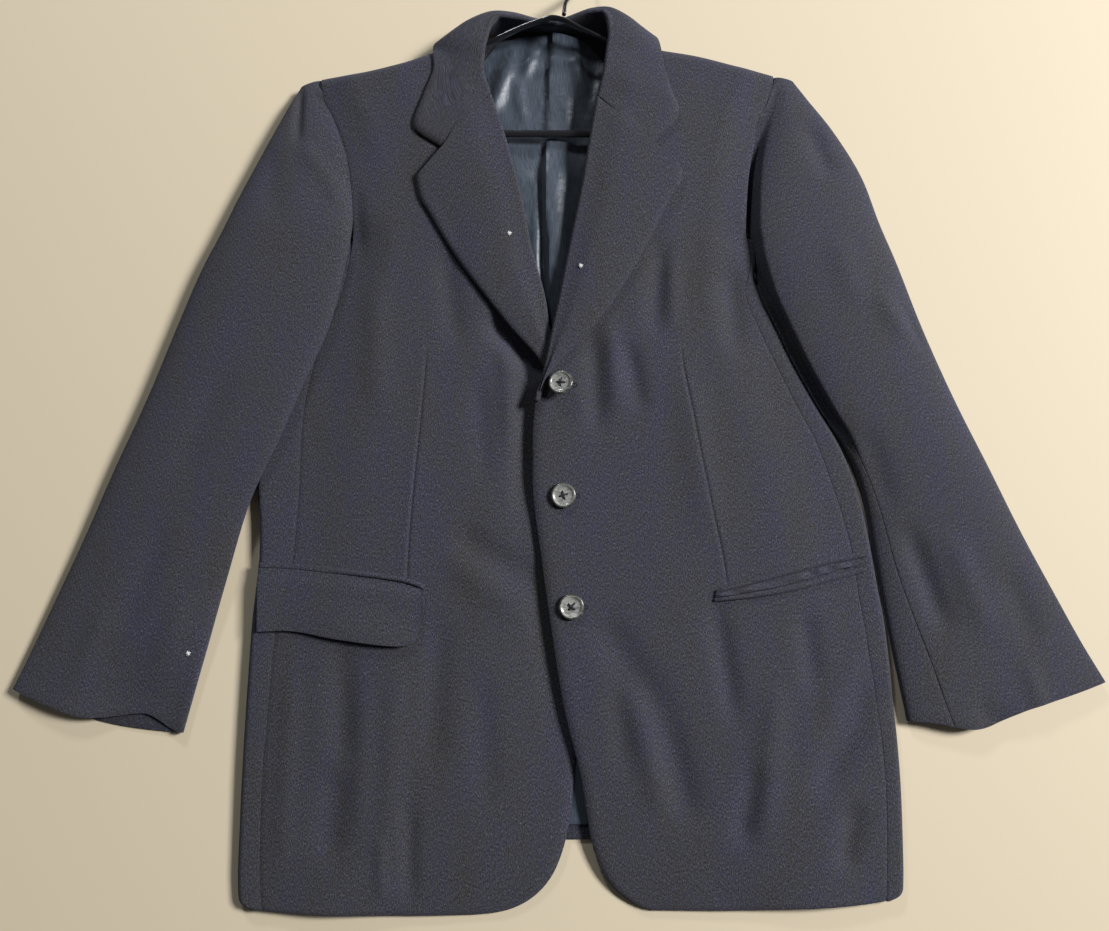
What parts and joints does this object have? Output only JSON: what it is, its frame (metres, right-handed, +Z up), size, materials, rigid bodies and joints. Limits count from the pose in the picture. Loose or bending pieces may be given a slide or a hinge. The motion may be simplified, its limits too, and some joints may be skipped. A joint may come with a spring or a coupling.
{
  "type": "sport coat on hanger",
  "caption": "Long-sleeved tailored coat laid flat face up on a slim hanger, notched lapels open in a V, front lapped and buttoned, one pocket flap out and one tucked in.",
  "frame": {"origin": "middle of the underside of the bounding box, on the surface the coat lies on", "axes": "+X across the coat to the viewer's right, +Y from the front hem to the collar, +Z up from the surface"},
  "size_m": [0.968, 0.9024, 0.0362],
  "materials": {
    "wool": "dark navy wool flannel, matt with a soft nap",
    "satin": "slate blue satin lining",
    "horn": "grey-olive horn effect with a dark polished rim",
    "black_rod": "smooth black"
  },
  "bodies": {
    "root": {"back_left": "wool", "back_lining": "satin", "back_right": "wool", "button_bottom": "horn", "button_middle": "horn", "button_top": "horn", "collar": "wool", "front_over": "wool", "front_under": "wool", "hanger_arms": "black_rod", "hanger_bar": "black_rod", "hanger_hook": "black_rod", "lapel_left": "wool", "lapel_right": "wool", "pocket_flap": "wool", "side_left": "wool", "side_right": "wool", "top_sleeve_left": "wool", "top_sleeve_right": "wool", "tucked_flap": "wool", "under_sleeve_left": "wool", "under_sleeve_right": "wool", "welt_left": "wool", "welt_lower_right": "wool", "welt_upper_right": "wool"}
  },
  "joints": []
}
